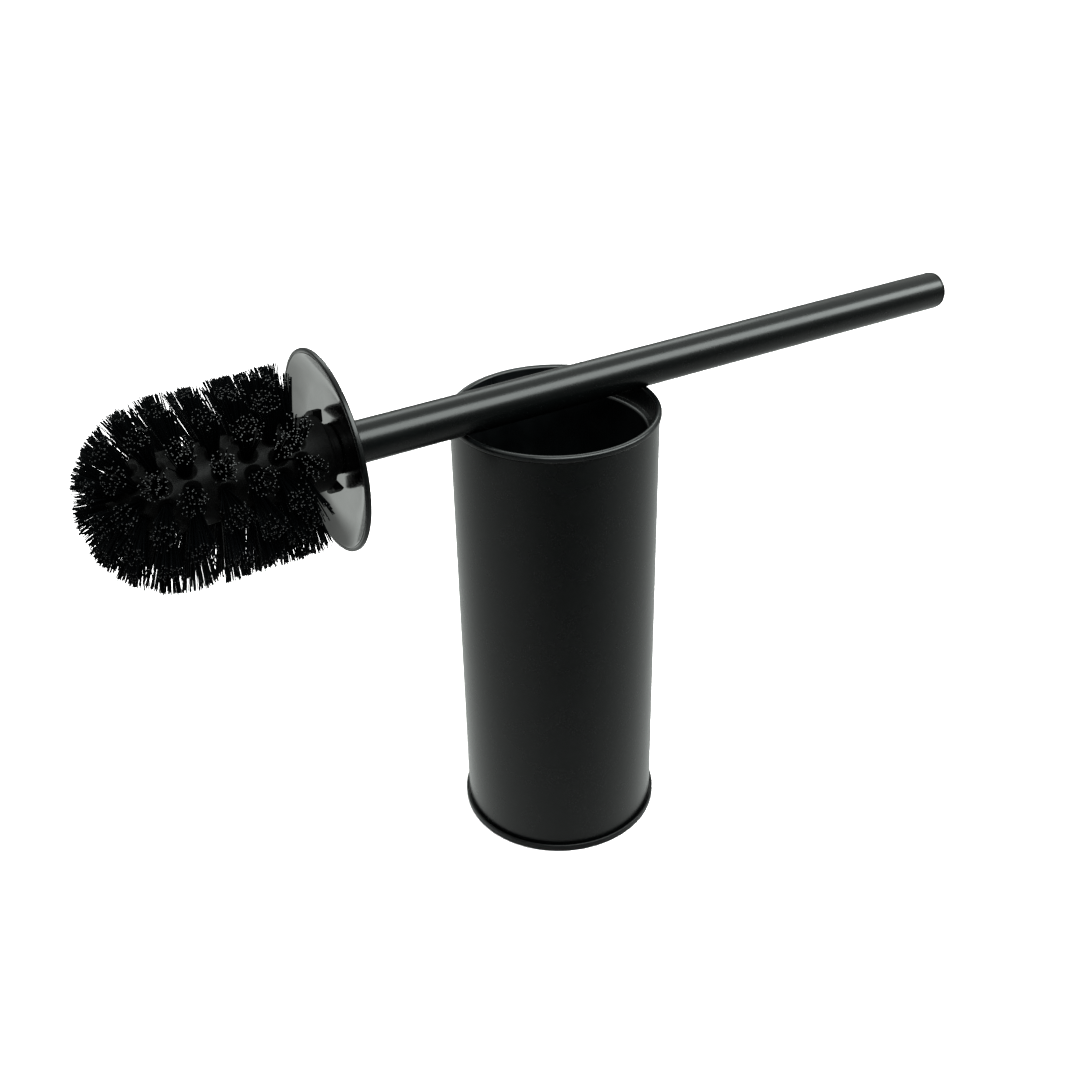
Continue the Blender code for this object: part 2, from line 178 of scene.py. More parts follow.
TRIM_SPREAD = 0.35 * MM
TRIM_RANGE = (-1.2 * MM, 0.8 * MM)
STRAIGHT_SHARE = 0.15  # how much a filament first follows its hole's direction
BEND_SPREAD = 0.13 * MM
HOLE_RADIUS = 2.1 * MM
CRATER_RADIUS = 3.9 * MM
CRATER_DEPTH = 1.7 * MM
HOLE_DEPTH = 3.1 * MM
CRATER_ROUNDNESS = 2.2
HOLE_EDGE = 0.5 * MM

# The studio is brightest behind the object and a little below it. The first table gives its strength by
# the cosine of the angle from there, and the second a factor by the sine of the height above the horizon.
STUDIO_TILT = math.radians(20.0)
STUDIO_TURN = math.radians(-12.0)  # from the camera's heading
STUDIO_STRENGTHS = (
    (-1.0, 0.08),
    (-0.80, 0.11),
    (-0.68, 0.20),
    (-0.53, 0.50),
    (-0.30, 0.75),
    (0.0, 0.92),
    (0.5, 1.0),
)
STUDIO_HEIGHTS = (
    (-1.0, 0.85),
    (-0.66, 0.95),
    (-0.42, 1.0),
    (-0.18, 0.40),
    (0.12, 0.40),
    (0.40, 1.0),
    (0.60, 1.2),
    (0.85, 2.2),
)
STUDIO_TINT = (0.945, 1.0, 0.965)  # both lights are faintly green, as the paint's reflections are
LAMP_TINT = (0.93, 1.0, 0.975)
LAMPS = {  # place, aim, size and power of each
    "overhead": ((1.0, -0.76, 1.28), (1.0, 0.0, 0.22), (3.6, 0.80), 165.0),
    "back_fill": ((0.4, 1.3, 1.5), (0.4, 0.0, 0.1), (2.2, 0.8), 26.0),
}
FLOOR_REACH = 14.0
FLOOR_CUTS = 8

# The view: where the camera stands and how it is turned.
CAMERA_PLACE = (-0.27607, -0.47171, 0.48110)
CAMERA_HEADING = math.radians(29.560)  # from +Y towards +X
CAMERA_PITCH = math.radians(31.326)  # below the horizon
CAMERA_ROLL = 0.02018  # radians, about the line of sight
CAMERA_LENS = 46.491
CAMERA_SENSOR = 36.0


# ---------------------------------------------------------------- materials


class Look:
    """A node material being put together around one Principled shader."""

    def __init__(self, name, **fixed):
        self.material = bpy.data.materials.new(name)
        self.material.use_nodes = True
        self.nodes = self.material.node_tree.nodes
        self.links = self.material.node_tree.links
        self.shader = self.nodes["Principled BSDF"]
        for socket, value in fixed.items():
            self.shader.inputs[socket.replace("_", " ")].default_value = value
        self.place = self.nodes.new("ShaderNodeTexCoord").outputs["Object"]
        self.bump = None

    def stretched(self, scale):
        """The object's own coordinates, scaled by axis."""
        mapping = self.nodes.new("ShaderNodeMapping")
        mapping.inputs["Scale"].default_value = scale
        self.links.new(self.place, mapping.inputs["Vector"])
        return mapping.outputs["Vector"]

    def noise(self, size, detail=2.0, place=None, rough=0.5):
        """Noise whose blobs are about `size` metres across."""
        node = self.nodes.new("ShaderNodeTexNoise")
        node.inputs["Scale"].default_value = 1.0 / size
        node.inputs["Detail"].default_value = detail
        node.inputs["Roughness"].default_value = rough
        self.links.new(place or self.place, node.inputs["Vector"])
        return node.outputs["Fac"]

    def spots(self, spacing, size, chance):
        """A mask of small round spots, about `spacing` metres apart, of which a share is kept."""
        cells = self.nodes.new("ShaderNodeTexVoronoi")
        cells.inputs["Scale"].default_value = 1.0 / spacing
        self.links.new(self.place, cells.inputs["Vector"])
        near = self.graded(cells.outputs["Distance"], size, 0.6 * size, 0.0, 1.0)
        least = 1.0 - chance
        kept = self.graded(self.red_part(cells.outputs["Color"]), least, least + 0.02, 0.0, 1.0)
        return self.math("MULTIPLY", near, kept)

    def red_part(self, colour):
        node = self.nodes.new("ShaderNodeSeparateColor")
        self.links.new(colour, node.inputs["Color"])
        return node.outputs["Red"]

    def graded(self, value, from_low, from_high, to_low, to_high):
        """The value moved from one range to another, and kept inside it."""
        node = self.nodes.new("ShaderNodeMapRange")
        self.links.new(value, node.inputs["Value"])
        sockets = ("From Min", "From Max", "To Min", "To Max")
        for socket, number in zip(sockets, (from_low, from_high, to_low, to_high)):
            node.inputs[socket].default_value = number
        return node.outputs["Result"]

    def math(self, operation, first, second):
        """Two values put together; either may be a number."""
        node = self.nodes.new("ShaderNodeMath")
        node.operation = operation
        for socket, value in zip(node.inputs, (first, second)):
            if isinstance(value, (int, float)):
                socket.default_value = value
            else:
                self.links.new(value, socket)
        return node.outputs["Value"]

    def mix(self, factor, first, second):
        """A colour between two colours; the first may be another node's output."""
        node = self.nodes.new("ShaderNodeMix")
        node.data_type = "RGBA"
        self.links.new(factor, node.inputs["Factor"])
        if isinstance(first, tuple):
            node.inputs["A"].default_value = (*first, 1.0)
        else:
            self.links.new(first, node.inputs["A"])
        node.inputs["B"].default_value = (*second, 1.0)
        return node.outputs["Result"]

    def colour(self, output):
        self.links.new(output, self.shader.inputs["Base Color"])

    def clouded(self, cloud, dark, light):
        """Base colour that drifts between two colours with a noise."""
        self.colour(self.mix(self.graded(cloud, 0.3, 0.7, 0.0, 1.0), dark, light))

    def roughness(self, output):
        self.links.new(output, self.shader.inputs["Roughness"])

    def relief(self, height, distance):
        """Adds a bump, on top of any that the material has already."""
        node = self.nodes.new("ShaderNodeBump")
        node.inputs["Distance"].default_value = distance
        node.inputs["Strength"].default_value = 1.0
        self.links.new(height, node.inputs["Height"])
        if self.bump is not None:
            self.links.new(self.bump, node.inputs["Normal"])
        self.bump = node.outputs["Normal"]
        self.links.new(self.bump, self.shader.inputs["Normal"])


def black_paint(name, shine):
    """Matt powder coat: a fine grain, a slow unevenness in its gloss and a few dust specks."""
    look = Look(name, IOR=1.30, Specular_IOR_Level=shine)
    mottle = look.graded(look.noise(9.0 * MM, 3.0), 0.3, 0.7, 0.0, 1.0)
    body = look.mix(mottle, (0.0004, 0.0006, 0.0006), (0.0006, 0.0008, 0.0008))
    look.colour(look.mix(look.spots(6.0 * MM, 0.028, 0.06), body, (0.10, 0.10, 0.095)))
    look.roughness(look.graded(look.noise(14.0 * MM, 4.0), 0.25, 0.75, 0.26, 0.285))
    look.relief(look.noise(0.55 * MM, 2.0), 0.0018 * MM)
    return look.material


def rim_plastic():
    """The liner's glossier moulded plastic, with fine draw marks down its wall."""
    look = Look("liner_plastic", IOR=1.42, Specular_IOR_Level=0.25)
    streaks = look.noise(1.0, 3.0, look.stretched((500.0, 500.0, 9.0)))
    cloud = look.noise(11.0 * MM, 3.0)
    look.clouded(cloud, (0.0006, 0.0008, 0.0009), (0.0012, 0.0015, 0.0016))
    wear = look.graded(cloud, 0.3, 0.75, 0.24, 0.32)
    look.roughness(look.math("ADD", wear, look.graded(streaks, 0.4, 0.8, 0.0, 0.05)))
    look.relief(streaks, 0.0015 * MM)
    look.relief(look.noise(0.9 * MM, 2.0), 0.002 * MM)
    return look.material


def moulded_plastic():
    """Plain black moulded plastic with a slightly pebbled skin."""
    look = Look("moulded_plastic", IOR=1.40, Specular_IOR_Level=0.19)
    cloud = look.noise(6.0 * MM, 3.0)
    look.clouded(cloud, (0.0007, 0.0008, 0.0009), (0.0014, 0.0015, 0.0016))
    look.roughness(look.graded(cloud, 0.25, 0.75, 0.26, 0.36))
    look.relief(look.noise(0.7 * MM, 2.0), 0.005 * MM)
    return look.material


def core_plastic():
    """The head's moulded core: duller, with a fine rubbed grain."""
    look = Look("core_plastic", IOR=1.38, Specular_IOR_Level=0.07)
    cloud = look.noise(4.0 * MM, 3.0)
    look.clouded(cloud, (0.0003, 0.0003, 0.0003), (0.0010, 0.0010, 0.0010))
    look.roughness(look.graded(look.noise(2.0 * MM, 3.0), 0.25, 0.75, 0.42, 0.55))
    look.relief(look.noise(0.6 * MM, 3.0), 0.010 * MM)
    return look.material


def satin_steel():
    """Bare sheet steel: faint straight brushing, cloudy handling marks and a few pits."""
    look = Look("satin_steel", Metallic=1.0)
    brushing = look.noise(1.0, 4.0, look.stretched((300.0, 4200.0, 60.0)), 0.6)
    cloud = look.noise(12.0 * MM, 4.0)
    look.clouded(cloud, (0.158, 0.157, 0.155), (0.200, 0.198, 0.196))
    base = look.graded(cloud, 0.25, 0.75, 0.11, 0.17)
    look.roughness(look.math("ADD", base, look.graded(brushing, 0.35, 0.75, 0.0, 0.06)))
    look.relief(brushing, 0.0007 * MM)
    look.relief(look.noise(7.0 * MM, 2.0), 0.010 * MM)
    return look.material


def plated_steel():
    """Zinc-plated stud: pale metal with a slightly crystalline haze."""
    look = Look("plated_steel", Metallic=1.0)
    haze = look.noise(1.2 * MM, 4.0)
    look.clouded(haze, (0.47, 0.47, 0.46), (0.60, 0.60, 0.57))
    look.roughness(look.graded(haze, 0.25, 0.75, 0.24, 0.38))
    look.relief(look.noise(0.4 * MM, 2.0), 0.004 * MM)
    return look.material


def turned_brass():
    """Brass with the fine rings that a lathe leaves."""
    look = Look("turned_brass", Metallic=1.0)
    rings = look.noise(1.0, 2.0, look.stretched((5200.0, 120.0, 120.0)))
    tarnish = look.noise(3.0 * MM, 3.0)
    look.clouded(tarnish, (0.52, 0.37, 0.14), (0.68, 0.52, 0.23))
    look.roughness(look.graded(rings, 0.3, 0.7, 0.20, 0.34))
    look.relief(rings, 0.004 * MM)
    return look.material


def foam_rubber():
    """Closed-cell foam: small pores in a dull skin, each pore darkened with painted shade in its pit."""
    look = Look("foam_rubber", IOR=1.40)
    cells = look.nodes.new("ShaderNodeTexVoronoi")
    cells.inputs["Scale"].default_value = 1.0 / (0.9 * MM)
    look.links.new(look.place, cells.inputs["Vector"])
    pore_pits_and_shade = look.graded(cells.outputs["Distance"], 0.15, 0.55, 0.0, 1.0)
    # painted shade: the colour darkens towards each pore's middle, where its pit would lie in shadow
    look.colour(look.mix(pore_pits_and_shade, (0.008, 0.008, 0.008), (0.022, 0.022, 0.023)))
    look.roughness(look.graded(look.noise(5.0 * MM), 0.3, 0.7, 0.78, 0.92))
    look.relief(pore_pits_and_shade, 0.12 * MM)
    return look.material


def nylon():
    """Black nylon filament: each one differs a little in tone and gloss."""
    look = Look("nylon", IOR=1.36, Specular_IOR_Level=0.02)
    each = look.nodes.new("ShaderNodeNewGeometry").outputs["Random Per Island"]
    look.colour(look.mix(each, (0.0003, 0.0004, 0.0005), (0.0011, 0.0013, 0.0015)))
    look.roughness(look.graded(each, 0.0, 1.0, 0.30, 0.48))
    look.relief(look.noise(0.25 * MM, 2.0), 0.006 * MM)
    return look.material


def cut_nylon():
    """The cut ends of the filaments, which scatter light."""
    look = Look("cut_nylon", IOR=1.50, Specular_IOR_Level=0.2)
    each = look.nodes.new("ShaderNodeNewGeometry").outputs["Random Per Island"]
    tone = look.graded(each, 0.1, 1.0, 0.0, 1.0)
    look.colour(look.mix(tone, (0.002, 0.002, 0.002), (0.023, 0.0235, 0.024)))
    look.roughness(look.graded(look.noise(0.2 * MM), 0.3, 0.7, 0.45, 0.65))
    look.relief(look.noise(0.12 * MM), 0.01 * MM)
    return look.material


def pale_floor():
    """A plain sheet of matt white paper, tinted to cancel the light's green cast."""
    look = Look("pale_floor", IOR=1.35)
    fibres = look.noise(3.0 * MM, 3.0)
    look.colour(look.mix(fibres, (0.94, 0.88, 0.90), (0.96, 0.90, 0.92)))
    look.roughness(look.graded(fibres, 0.3, 0.7, 0.85, 0.95))
    look.relief(fibres, 0.01 * MM)
    return look.material


# ---------------------------------------------------------------- turned shapes


def arc_corner(before, corner, after, radius, steps):
    """Points of the fillet that rounds a corner."""
    back = (before - corner).normalized()
    ahead = (after - corner).normalized()
    half = back.angle(ahead) / 2.0
    reach = min(radius / math.tan(half), 0.49 * (before - corner).length, 0.49 * (after - corner).length)
    radius = reach * math.tan(half)
    centre = corner + (back + ahead).normalized() * (radius / math.sin(half))
    first = corner + back * reach - centre
    last = corner + ahead * reach - centre
    start = math.atan2(first.y, first.x)
    sweep = (math.atan2(last.y, last.x) - start + math.pi) % math.tau - math.pi
    points = []
    for i in range(steps + 1):
        angle = start + sweep * i / steps
        points.append((centre.x + radius * math.cos(angle), centre.y + radius * math.sin(angle)))
    return points


def outline(corners, closed=True, steps=6):
    """An outline of (radius, along) points from corners of (radius, along, fillet)."""
    points = []
    count = len(corners)
    for i, (radius, along, fillet) in enumerate(corners):
        at_end = not closed and i in (0, count - 1)
        if fillet <= 0.0 or at_end:
            points.append((radius, along))
            continue
        before = Vector(corners[i - 1][:2])
        after = Vector(corners[(i + 1) % count][:2])
        points += arc_corner(before, Vector((radius, along)), after, fillet, steps)
    return points


def upright(radius, angle, along):
    """A point on the canister's axis system: along is height."""
    return np.stack([radius * np.cos(angle), radius * np.sin(angle), along], axis=-1)


def lying(radius, angle, along):
    """A point on the brush's axis system: along is depth, and the angle turns from +Z towards +Y."""
    points = [LID_RIM_X - along, AXIS_Y + radius * np.sin(angle), AXIS_Z + radius * np.cos(angle)]
    return np.stack(points, axis=-1)


def mesh_object(name, points, faces, materials, smooth_angle=32.0):
    """A named object from points and faces, with its normals out, shaded smooth."""
    mesh = bpy.data.meshes.new(name)
    mesh.from_pydata([tuple(point) for point in points], [], faces)
    builder = bmesh.new()
    builder.from_mesh(mesh)
    bmesh.ops.recalc_face_normals(builder, faces=builder.faces)
    builder.to_mesh(mesh)
    builder.free()
    mesh.shade_smooth()
    mesh.set_sharp_from_angle(angle=math.radians(smooth_angle))
    for look in materials:
        mesh.materials.append(look)
    made = bpy.data.objects.new(name, mesh)
    bpy.context.scene.collection.objects.link(made)
    return made


def lathe(name, profile, place, materials, steps=192, closed=True, shape=None, smooth_angle=32.0):
    """Turns a profile about an axis. `shape` may change a point's radius by its angle and place."""
    angles = np.arange(steps) * (math.tau / steps)
    points = []
    rows = []
    for radius, along in profile:
        start = len(points)
        if radius < 1e-7:
            points.append(place(np.float64(0.0), np.float64(0.0), np.float64(along)))
            rows.append([start] * steps)
            continue
        radii = np.full(steps, radius)
        depths = np.full(steps, along)
        if shape is not None:
            radii = shape(radii, angles, depths)
        points.extend(place(radii, angles, depths))
        rows.append(list(range(start, start + steps)))
    pairs = list(zip(rows, rows[1:]))
    if closed:
        pairs.append((rows[-1], rows[0]))
    faces = []
    for row, after in pairs:
        for i in range(steps):
            j = (i + 1) % steps
            corners = [row[i], row[j], after[j], after[i]]
            faces.append(tuple(dict.fromkeys(corners)))
    faces = [face for face in faces if len(face) > 2]
    return mesh_object(name, points, faces, materials, smooth_angle)


def seat(piece, body, slot, *nodes):
    """Puts a finished piece in the model: what it rides on and the nodes it stands for. The slot is not
    used.
    """
    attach(piece, body)
    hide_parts(*nodes)
    return piece


def depth_of(x):
    """Depth of a place on the brush, from its X."""
    return LID_RIM_X - x


# ---------------------------------------------------------------- holder


def build_shell(paint):
    inner = SHELL_RADIUS - SHELL_WALL
    corners = [
        (inner, SHELL_LOW.z, 0.2 * MM),
        (SHELL_RADIUS, SHELL_LOW.z, 0.3 * MM),
        (SHELL_RADIUS, SHELL_HIGH.z, 0.35 * MM),
        (inner, SHELL_HIGH.z, 0.2 * MM),
    ]
    shell = lathe("shell", outline(corners), upright, [paint], 256)
    seat(shell, "holder", "black_paint", "holder_shell")


def build_base(plastic):
    """The base with its thin upturned lip, the trench around the shell and the spigot inside it."""
    lip_outer = BASE_HIGH.y
    lip_inner = lip_outer - BASE_LIP_WALL
    pad_radius = PAD_HIGH.y + GAP
    recess = PAD_HIGH.z + GAP
    trench = SHELL_LOW.z - GAP
    spigot_outer = SHELL_RADIUS - SHELL_WALL - GAP
    spigot_inner = spigot_outer - SPIGOT_WALL
    floor_top = recess + BASE_FLOOR
    fine = 0.12 * MM
    corners = [
        (0.0, recess, 0.0),
        (pad_radius, recess, fine),
        (pad_radius, BASE_LOW.z, 0.3 * MM),
        (lip_outer, BASE_LOW.z, 0.6 * MM),
        (lip_outer, BASE_LIP_TOP, 0.38 * MM),
        (lip_inner, BASE_LIP_TOP, 0.38 * MM),
        (lip_inner, trench, fine),
        (spigot_outer, trench, fine),
        (spigot_outer, BASE_HIGH.z, 0.5 * MM),
        (spigot_inner, BASE_HIGH.z, 0.3 * MM),
        (spigot_inner, floor_top, 0.8 * MM),
        (0.0, floor_top, 0.0),
    ]
    profile = outline(corners, closed=False)
    base = lathe("base", profile, upright, [plastic], 256, closed=False)
    seat(base, "holder", "black_plastic", "base_cap")


def build_pad(foam):
    corners = [
        (0.0, PAD_LOW.z, 0.0),
        (PAD_HIGH.y, PAD_LOW.z, 0.25 * MM),
        (PAD_HIGH.y, PAD_HIGH.z, 0.15 * MM),
        (0.0, PAD_HIGH.z, 0.0),
    ]
    pad = lathe("foot_pad", outline(corners, closed=False), upright, [foam], 192, closed=False)
    seat(pad, "holder", "foam_rubber", "anti_slip_pad")


def build_liner(plastic):
    """The cup: rounded rim, collar, a shoulder for the lid, and a drafted wall down to its floor."""
    collar_outer = SHELL_RADIUS - SHELL_WALL - GAP
    collar_inner = collar_outer - LINER_WALL
    top = LINER_HIGH.z
    shoulder = top - COLLAR_DEPTH
    rim_bottom = top - RIM_HEIGHT
    rim_radius = LINER_HIGH.y
    floor = LINER_LOW.z
    foot = LINER_FOOT_ROUNDING
    corners = [
        (0.0, floor, 0.0),
        (LINER_FLOOR_RADIUS + LINER_WALL, floor, foot),
        (SHOULDER_OPENING + LINER_WALL, shoulder - 2.0 * LINER_WALL, 1.0 * MM),
        (collar_outer, shoulder - LINER_WALL, 0.8 * MM),
        (collar_outer, rim_bottom, 0.1 * MM),
        (rim_radius, rim_bottom, 0.55 * MM),
        (rim_radius, top, 1.35 * MM),
        (collar_inner, top, 1.45 * MM),
        (collar_inner, shoulder, 0.12 * MM),
        (SHOULDER_OPENING, shoulder, 1.5 * MM),
        (LINER_FLOOR_RADIUS, floor + LINER_WALL, foot - LINER_WALL),
        (0.0, floor + LINER_WALL, 0.0),
    ]
    profile = outline(corners, closed=False, steps=8)
    cup = lathe("liner_cup", profile, upright, [plastic], 256, closed=False)
    seat(cup, "liner", "liner_plastic", "liner")


# ---------------------------------------------------------------- handle and lid


def build_handle(paint, plastic):
    start, end = depth_of(TUBE_HIGH.x), depth_of(TUBE_LOW.x)
    bore = HANDLE_RADIUS - HANDLE_WALL
    corners = [
        (bore, end, 0.15 * MM),
        (HANDLE_RADIUS, end, 0.25 * MM),
        (HANDLE_RADIUS, start, 0.5 * MM),
        (bore, start, 0.15 * MM),
    ]
    tube = lathe("tube", outline(corners), lying, [paint], 128)
    seat(tube, "handle", "black_paint", "handle_tube")
    outer_end, inner_end = depth_of(CAP_HIGH.x), depth_of(CAP_LOW.x)
    head_radius = (CAP_HIGH.z - CAP_LOW.z) / 2.0
    seat_depth = start - GAP
    plug_radius = bore - GAP
    corners = [
        (0.0, inner_end, 0.0),
        (plug_radius, inner_end, 0.9 * MM),
        (plug_radius, seat_depth, 0.1 * MM),
        (head_radius, seat_depth, 0.12 * MM),
        (head_radius, outer_end + 0.15 * MM, 0.9 * MM),
        (0.0, outer_end, 0.0),
    ]
    cap = lathe("end_cap", outline(corners, closed=False), lying, [plastic], 96, closed=False)
    seat(cap, "handle", "black_plastic", "handle_end_cap")


def threaded(radii, angles, depths):
    """A right-hand V thread with small flats, cut into a plain radius."""
    turn = (depths / THREAD_PITCH + angles / math.tau) % 1.0
    rise = np.clip(np.abs(turn - 0.5) * THREAD_STEEPNESS - THREAD_FLAT, 0.0, 1.0)
    return radii - THREAD_DEPTH * rise


def build_screw(zinc, brass, plastic):
    """The stud, the bush that holds it in the handle and the brass insert in the head."""
    stud_radius = (STUD_HIGH.z - STUD_LOW.z) / 2.0
    start, end = depth_of(STUD_HIGH.x), depth_of(STUD_LOW.x)
    rings = 320
    profile = [(0.0, start)]
    for i in range(rings + 1):
        along = start + (end - start) * i / rings
        lead = min(1.0, (end - along) / STUD_LEAD, (along - start) / STUD_LEAD)
        profile.append((stud_radius - (1.0 - lead) * STUD_CHAMFER, along))
    profile.append((0.0, end))
    stud = lathe("stud", profile, lying, [zinc], 48, closed=False, shape=threaded, smooth_angle=60.0)
    seat(stud, "handle", "plated_steel", "threaded_stud")

    plug_radius = (PLUG_HIGH.z - PLUG_LOW.z) / 2.0
    low, high = depth_of(PLUG_HIGH.x), depth_of(PLUG_LOW.x)
    corners = [
        (STUD_HOLE_RADIUS, low, 0.4 * MM),
        (plug_radius, low, 0.6 * MM),
        (plug_radius, high, 0.3 * MM),
        (STUD_HOLE_RADIUS, high, 0.4 * MM),
    ]
    bush = lathe("bush", outline(corners), lying, [plastic], 96)
    seat(bush, "handle", "black_plastic", "threaded_plug")

    insert_radius = (INSERT_HIGH.z - INSERT_LOW.z) / 2.0
    low, high = depth_of(INSERT_HIGH.x), depth_of(INSERT_LOW.x)
    waist = (low + high) / 2.0
    corners = [
        (STUD_HOLE_RADIUS, low, 0.3 * MM),
        (insert_radius, low, 0.3 * MM),
        (insert_radius, waist - INSERT_WAIST, 0.1 * MM),
        (insert_radius - INSERT_WAIST, waist - INSERT_WAIST, 0.1 * MM),
        (insert_radius - INSERT_WAIST, waist + INSERT_WAIST, 0.1 * MM),
        (insert_radius, waist + INSERT_WAIST, 0.1 * MM),
        (insert_radius, high, 0.3 * MM),
        (STUD_HOLE_RADIUS, high, 0.3 * MM),
    ]

    def knurled(radii, angles, depths):
        """Cuts straight ridges into the outside, and leaves the groove and the bore plain."""
        ridge = np.abs((angles * KNURL_RIDGES / math.tau) % 1.0 - 0.5) * 2.0
        outside = radii > insert_radius - INSERT_WAIST / 2.0
        return radii - np.where(outside, KNURL_DEPTH * ridge, 0.0)

    insert = lathe(
        "insert_bush", outline(corners), lying, [brass], 192, shape=knurled, smooth_angle=20.0
    )
    seat(insert, "insert", "brass", "thread_insert")


def dish_depth(radius):
    """Depth of the lid's dish at a radius: flat in the middle and rising to the rim."""
    share = (radius - LID_SEAT_RADIUS) / (LID_DISH_RADIUS - LID_SEAT_RADIUS)
    share = max(0.0, min(1.0, share))
    return -LID_DISH * (1.0 - share * share)


def build_lid(steel, paint):
    """The dished lid: bare towards the head, grooved inside its turned edge, and painted elsewhere."""
    hole = HANDLE_RADIUS + GAP
    collar = hole + LID_COLLAR_WALL
    collar_end = depth_of(LID_HIGH.x)
    edge_inner = LID_RADIUS - LID_EDGE_WIDTH
    groove = LID_RADIUS - LID_GROOVE_INSET
    dish_start = LID_DISH_RADIUS - GAP
    rings = 28
    corners = [(hole, collar_end, 0.3 * MM), (collar, collar_end, 0.5 * MM)]
    corners += [(collar, dish_depth(collar) - LID_SHEET, 0.6 * MM)]
    for i in range(1, rings):
        radius = collar + (edge_inner - collar) * i / rings
        corners.append((radius, dish_depth(radius) - LID_SHEET, 0.0))
    corners += [
        (edge_inner, -LID_EDGE, 0.4 * MM),
        (LID_RADIUS, -LID_EDGE, 1.0 * MM),
        (LID_RADIUS, 0.0, 0.8 * MM),
        (groove + 0.45 * MM, 0.0, 0.12 * MM),
        (groove + 0.3 * MM, -LID_GROOVE_DEPTH, 0.05 * MM),
        (groove, -LID_GROOVE_DEPTH, 0.05 * MM),
        (groove - 0.15 * MM, dish_depth(groove) - 0.02 * MM, 0.06 * MM),
    ]
    for i in range(rings):
        radius = dish_start + (LID_SEAT_RADIUS - dish_start) * i / rings
        corners.append((radius, dish_depth(radius), 0.0))
    corners.append((hole, -LID_DISH, 0.15 * MM))
    lid = lathe("lid", outline(corners), lying, [steel, paint], 256)
    for face in lid.data.polygons:
        radius = math.hypot(face.center.y - AXIS_Y, face.center.z - AXIS_Z)
        bare = face.normal.x < BARE_FACING and radius < LID_RADIUS - LID_PAINTED_EDGE
        face.material_index = 0 if bare else 1
    seat(lid, "lid", "satin_steel", "lid_disc")


# ---------------------------------------------------------------- bristle head


def tuft_places():
    """Each ring's tufts as (root depth, tip depth, angles)."""
    rings = []
    for i, (root, tip) in enumerate(zip(RING_ROOT_DEPTHS, RING_TIP_DEPTHS)):
        last = i == len(RING_TIP_DEPTHS) - 1
        count = TUFTS_IN_LAST_RING if last else TUFTS_PER_RING
        phase = LAST_RING_PHASE if last else RING_PHASE - (i % 2) * math.pi / TUFTS_PER_RING
        rings.append((root, tip, [phase + k * math.tau / count for k in range(count)]))
    return rings


def core_radius(depth):
    """Radius of the core at a depth: a cylinder that ends in a round dome."""
    into_dome = max(0.0, depth - (depth_of(CORE_LOW.x) - CORE_RADIUS))
    return math.sqrt(max(0.0, CORE_RADIUS * CORE_RADIUS - into_dome * into_dome))


def envelope_radius(depth):
    """Radius of the trimmed bristle head at a depth: a cylinder that closes in an elliptic dome."""
    share = np.clip((depth - DOME_START_DEPTH) / (HEAD_TIP_DEPTH - DOME_START_DEPTH), 0.0, 1.0)
    return HEAD_RADIUS * np.sqrt(1.0 - share**DOME_BLUNTNESS)


def droop(depth):
    """How far the filaments' ends hang below the head's axis: more towards the tip."""
    return np.clip(DROOP_SLOPE * (depth - DROOP_START), 0.0, DROOP_MOST)


def build_neck(plastic):
    radius = (NECK_HIGH.z - NECK_LOW.z) / 2.0
    low, high = depth_of(NECK_HIGH.x), depth_of(NECK_LOW.x)
    corners = [
        (STUD_HOLE_RADIUS, low, 0.2 * MM),
        (radius, low, 0.35 * MM),
        (radius, high, 0.35 * MM),
        (STUD_HOLE_RADIUS, high, 0.2 * MM),
    ]
    neck = lathe("neck", outline(corners), lying, [plastic], 128)
    seat(neck, "head", "black_plastic", "neck_collar")


def lug_points(near, far):
    """Points and faces of the hub's two lugs, each an arc with a flat side and a flat foot."""
    first, last = math.asin(LUG_SIDE / LUG_RADIUS), math.acos(LUG_FOOT / LUG_RADIUS)
    steps, rounding_steps = 16, 6
    corners = [(LUG_SIDE, LUG_FOOT, 0.3 * MM)]
    corners.append((LUG_RADIUS * math.sin(first), LUG_RADIUS * math.cos(first), 1.0 * MM))
    for i in range(1, steps):
        angle = first + (last - first) * i / steps
        corners.append((LUG_RADIUS * math.sin(angle), LUG_RADIUS * math.cos(angle), 0.0))
    corners.append((LUG_RADIUS * math.sin(last), LUG_RADIUS * math.cos(last), 0.6 * MM))
    shape = np.array(outline(corners))
    middle = shape.mean(axis=0)
    points, faces = [], []
    for turn in (1.0, -1.0):
        rows = []
        for i in range(rounding_steps + 1):
            angle = i / rounding_steps * math.pi / 2.0
            inset = LUG_ROUNDING * (1.0 - math.sin(angle))
            depth = near + LUG_ROUNDING * (1.0 - math.cos(angle))
            rows.append((inset, depth))
        rows.append((0.0, far))
        start = len(points)
        count = len(shape)
        for inset, depth in rows:
            reach = middle - shape
            reach /= np.linalg.norm(reach, axis=1, keepdims=True)
            for y, z in turn * (shape + reach * inset):
                points.append((LID_RIM_X - depth, AXIS_Y + y, AXIS_Z + z))
        for row in range(len(rows) - 1):
            for i in range(count):
                j = (i + 1) % count
                low = start + row * count
                faces.append((low + i, low + j, low + count + j, low + count + i))
        faces.append(tuple(range(start, start + count)))
        faces.append(tuple(range(start + (len(rows) - 1) * count, start + len(rows) * count)))
    return points, faces


